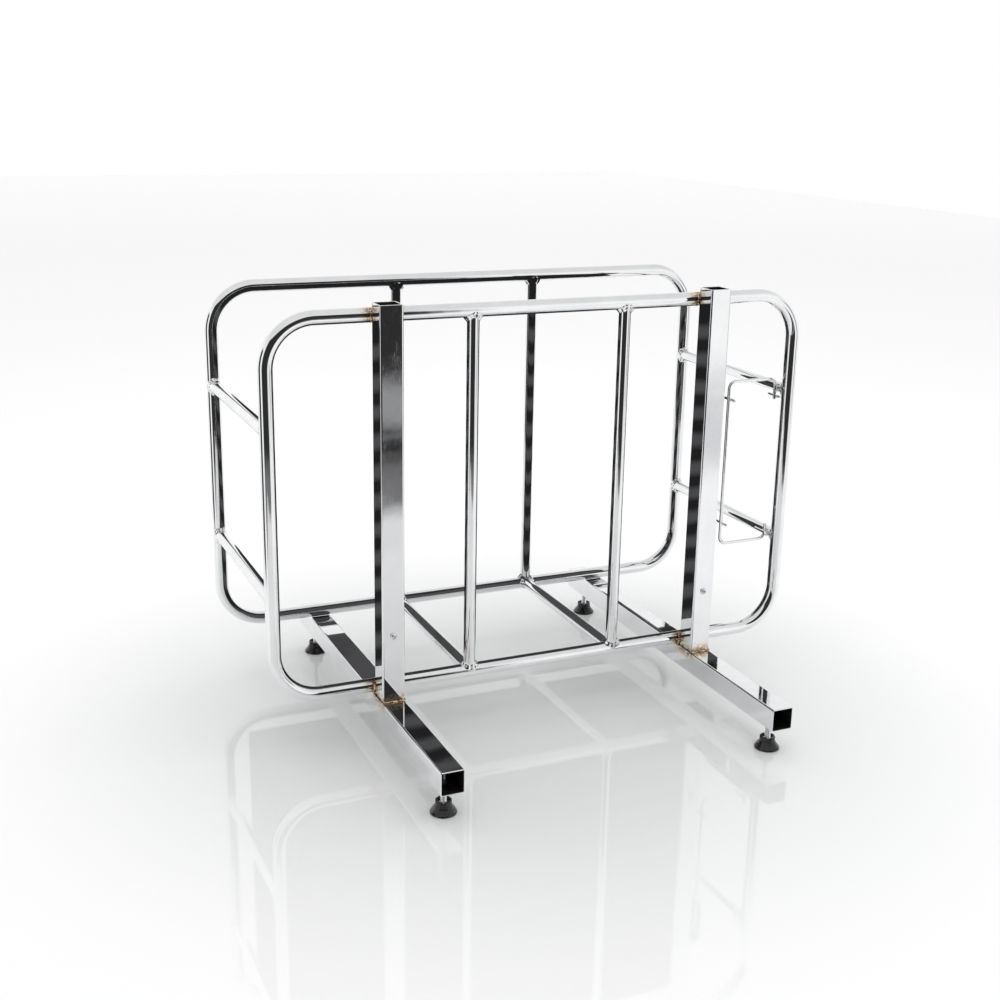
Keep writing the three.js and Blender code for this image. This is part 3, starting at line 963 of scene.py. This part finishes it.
def floor():
    """A glossy white table top with painted shade round its middle, under the rack, that fades out
    before the camera's side of it ends.
    """
    mesh = bpy.data.meshes.new("table_top")
    left, right, near, far = -1.3, 5.0, -1.2, 9.0
    corners = [(left, near, 0), (right, near, 0), (right, far, 0), (left, far, 0)]
    mesh.from_pydata(corners, [], [(0, 1, 2, 3)])
    material = bpy.data.materials.new("white_acrylic")
    material.use_nodes = True
    tree = material.node_tree
    shader = tree.nodes["Principled BSDF"]
    place = add_node(tree, "ShaderNodeTexCoord")
    smear = add_node(tree, "ShaderNodeTexNoise", {"Scale": 9.0, "Detail": 4.0})
    link(tree, place, "Object", smear, "Vector")
    rough = remap(tree, smear, "Fac", 0.3, 0.7, 0.03, 0.05)
    link(tree, rough, "Result", shader, "Roughness")
    shader.inputs["Specular IOR Level"].default_value = 0.7
    # Painted shade: the base colour is greyer within about 0.18 m of the middle, under the rack,
    # and white by 0.62 m; it stands in for the shadow and reflection of a bag on the rack.
    away = add_node(tree, "ShaderNodeVectorMath", operation="LENGTH")
    link(tree, place, "Object", away, "Vector")
    shadow_falloff = remap(tree, away, "Value", 0.18, 0.62, 0.0, 1.0)
    colour = ramp(tree, [(0.0, (0.80, 0.81, 0.81)), (1.0, (0.98, 0.98, 0.98))], shadow_falloff, "Result")
    link(tree, colour, "Color", shader, "Base Color")
    spot = add_node(tree, "ShaderNodeSeparateXYZ")
    link(tree, place, "Object", spot, "Vector")
    sides = [
        remap(tree, spot, "X", -0.90, -0.72, 0.0, 1.0),
        remap(tree, spot, "Y", -0.90, -0.76, 0.0, 1.0),
    ]
    inside = add_node(tree, "ShaderNodeMath", operation="MULTIPLY")
    for i, side_mask in enumerate(sides):
        tree.links.new(side_mask.outputs["Result"], inside.inputs[i])
    clear = add_node(tree, "ShaderNodeBsdfTransparent")
    fade = add_node(tree, "ShaderNodeMixShader")
    link(tree, inside, "Value", fade, "Fac")
    tree.links.new(clear.outputs[0], fade.inputs[1])
    tree.links.new(shader.outputs[0], fade.inputs[2])
    tree.links.new(fade.outputs[0], tree.nodes["Material Output"].inputs["Surface"])
    mesh.materials.append(material)
    table = bpy.data.objects.new("table_top", mesh)
    bpy.context.scene.collection.objects.link(table)


BOX_FACES = (
    (0, 1, 3, 2), (4, 6, 7, 5), (0, 4, 5, 1), (2, 3, 7, 6), (0, 2, 6, 4), (1, 5, 7, 3),
)


def flag():
    """Dark, faintly glowing cards where a bag and its wheels would stand; no bag is drawn. The
    camera does not see them, but they paint dark reflections of the bag into the polished metal and
    the glossy table, and cast a painted shadow of it.
    """
    points, faces = [], []
    for low, high in (
        ((-0.262, -0.022, 0.070), (0.190, 0.165, 0.400)),
        ((0.190, 0.020, 0.075), (0.255, 0.060, 0.125)),
        ((0.190, 0.020, 0.330), (0.255, 0.060, 0.380)),
    ):
        first = len(points)
        xs, ys, zs = zip(low, high)
        points += [(x, y, z) for x in xs for y in ys for z in zs]
        faces += [[first + i for i in face] for face in BOX_FACES]
    mesh = bpy.data.meshes.new("absent_bag_shade_card")
    mesh.from_pydata(points, [], faces)
    material = bpy.data.materials.new("dark_card")
    material.use_nodes = True
    tree = material.node_tree
    tree.nodes.clear()
    place = add_node(tree, "ShaderNodeTexCoord")
    ribs = add_node(
        tree,
        "ShaderNodeTexWave",
        {"Scale": 11.0, "Distortion": 2.5, "Detail": 3.0},
        bands_direction="Z",
    )
    link(tree, place, "Object", ribs, "Vector")
    # Painted reflection: dark ribbed greys for the absent bag, given as a faint glow.
    shade = ramp(tree, [(0.2, (0.016, 0.016, 0.017)), (0.9, (0.075, 0.075, 0.078))], ribs, "Fac")
    glow = add_node(tree, "ShaderNodeEmission", {"Strength": 1.0})
    link(tree, shade, "Color", glow, "Color")
    output = add_node(tree, "ShaderNodeOutputMaterial")
    link(tree, glow, "Emission", output, "Surface")
    mesh.materials.append(material)
    card = bpy.data.objects.new("absent_bag_shade_card", mesh)
    bpy.context.scene.collection.objects.link(card)
    # Left visible to glossy and shadow rays: a painted reflection and a painted shadow of the
    # absent bag.
    card.visible_camera = False
    card.visible_diffuse = False
    card.visible_transmission = False
    card.visible_volume_scatter = False


# Grey patches in the white tent: headings left and right (clockwise from +Y), heights low and
# high and the softness of the edge, all in degrees, then the brightness.
DARK_PATCHES = (
    (158, 244, -80, 31, 2.0, 0.030),
    (158, 244, -19, -15, 0.8, 0.19),
    (159, 163, -13.6, -11.6, 0.6, 0.32),
    (142, 154, -15, -11, 1.5, 0.76),
    (268, 302, -80, 18, 3.0, 0.05),
    (110, 128, -80, 14, 4.0, 0.35),
)


def world():
    """White tent: bright all round, dark behind the camera and at the left below head height."""
    studio = bpy.data.worlds.new("studio")
    bpy.context.scene.world = studio
    studio.use_nodes = True
    tree = studio.node_tree
    tree.nodes.clear()
    place = add_node(tree, "ShaderNodeTexCoord")
    parts = add_node(tree, "ShaderNodeSeparateXYZ")
    link(tree, place, "Generated", parts, "Vector")
    level = add_node(tree, "ShaderNodeVectorMath", operation="MULTIPLY")
    link(tree, place, "Generated", level, "Vector")
    level.inputs[1].default_value = (1, 1, 0)
    heading = add_node(tree, "ShaderNodeVectorMath", operation="NORMALIZE")
    link(tree, level, "Vector", heading, "Vector")

    def patch(left, right, low, high, soft):
        """1 between two headings and two heights, all in degrees, with soft edges."""
        middle, half = math.radians((left + right) / 2), (right - left) / 2
        facing = add_node(tree, "ShaderNodeVectorMath", operation="DOT_PRODUCT")
        link(tree, heading, "Vector", facing, 0)
        facing.inputs[1].default_value = (math.sin(middle), math.cos(middle), 0)
        outer, inner = (math.cos(math.radians(half + side * soft)) for side in (1, -1))
        edges = [remap(tree, facing, "Value", outer, inner, 0.0, 1.0)]
        for level, start, end in ((low, 0.0, 1.0), (high, 1.0, 0.0)):
            below, above = (math.sin(math.radians(level + side * soft)) for side in (-1, 1))
            edges.append(remap(tree, parts, "Z", below, above, start, end))
        mask = edges[0]
        for edge in edges[1:]:
            both = add_node(tree, "ShaderNodeMath", operation="MULTIPLY")
            tree.links.new(mask.outputs[0], both.inputs[0])
            tree.links.new(edge.outputs[0], both.inputs[1])
            mask = both
        return mask

    tent = remap(tree, parts, "Z", 0.15, 0.75, 1.05, 0.80)
    colour = blend_colours(tree, "MIX", 0.0, (0.0, 0.0, 0.0, 1), (0.0, 0.0, 0.0, 1))
    tree.links.new(tent.outputs["Result"], colour.inputs[6])
    for left, right, low, high, soft, value in DARK_PATCHES:
        mask = patch(left, right, low, high, soft)
        grey = (value, value, value * 1.02, 1)
        mixed = blend_colours(tree, "MIX", (mask, "Value"), (0.0, 0.0, 0.0, 1), grey)
        tree.links.new(colour.outputs[2], mixed.inputs[6])
        colour = mixed
    seen = add_node(tree, "ShaderNodeBackground", {"Strength": 1.0})
    tree.links.new(colour.outputs[2], seen.inputs["Color"])
    backdrop = add_node(tree, "ShaderNodeBackground", {"Color": (1, 1, 1, 1), "Strength": 1.0})
    rays = add_node(tree, "ShaderNodeLightPath")
    pick = add_node(tree, "ShaderNodeMixShader")
    link(tree, rays, "Is Camera Ray", pick, "Fac")
    tree.links.new(seen.outputs[0], pick.inputs[1])
    tree.links.new(backdrop.outputs[0], pick.inputs[2])
    output = add_node(tree, "ShaderNodeOutputWorld")
    tree.links.new(pick.outputs[0], output.inputs["Surface"])


def soft_light(name, location, target, size, power):
    """An overhead soft box that the polished metal does not mirror."""
    data = bpy.data.lights.new(name, "AREA")
    data.shape, data.size, data.size_y, data.energy = "RECTANGLE", size[0], size[1], power
    light = bpy.data.objects.new(name, data)
    light.location = location
    light.rotation_mode = "QUATERNION"
    light.rotation_quaternion = (Vector(target) - Vector(location)).to_track_quat("-Z", "Y")
    light.visible_glossy = False
    light.visible_camera = False
    bpy.context.scene.collection.objects.link(light)


def camera():
    """Standing left of the rack's middle, a little above it, with a slight roll."""
    yaw, pitch, roll = (math.radians(a) for a in (24.011, -16.485, 1.019))
    level_reach = math.cos(pitch)
    forward = Vector((math.sin(yaw) * level_reach, math.cos(yaw) * level_reach, math.sin(pitch)))
    level = Vector((math.cos(yaw), -math.sin(yaw), 0))
    above = level.cross(forward)
    right = level * math.cos(roll) + above * math.sin(roll)
    up = above * math.cos(roll) - level * math.sin(roll)
    data = bpy.data.cameras.new("camera")
    data.sensor_width = 36.0
    data.lens = 49.87
    eye = bpy.data.objects.new("camera", data)
    rotation = Matrix((right, up, -forward)).transposed()
    eye.matrix_world = Matrix.Translation((-0.58322, -1.23448, 0.62188)) @ rotation.to_4x4()
    bpy.context.scene.collection.objects.link(eye)
    bpy.context.scene.camera = eye


floor()
flag()
world()
soft_light("overhead_soft", (0.2, 0.1, 2.4), (0.0, 0.1, 0.0), (3.0, 3.0), 26)
camera()
bpy.context.scene.view_settings.view_transform = "Standard"
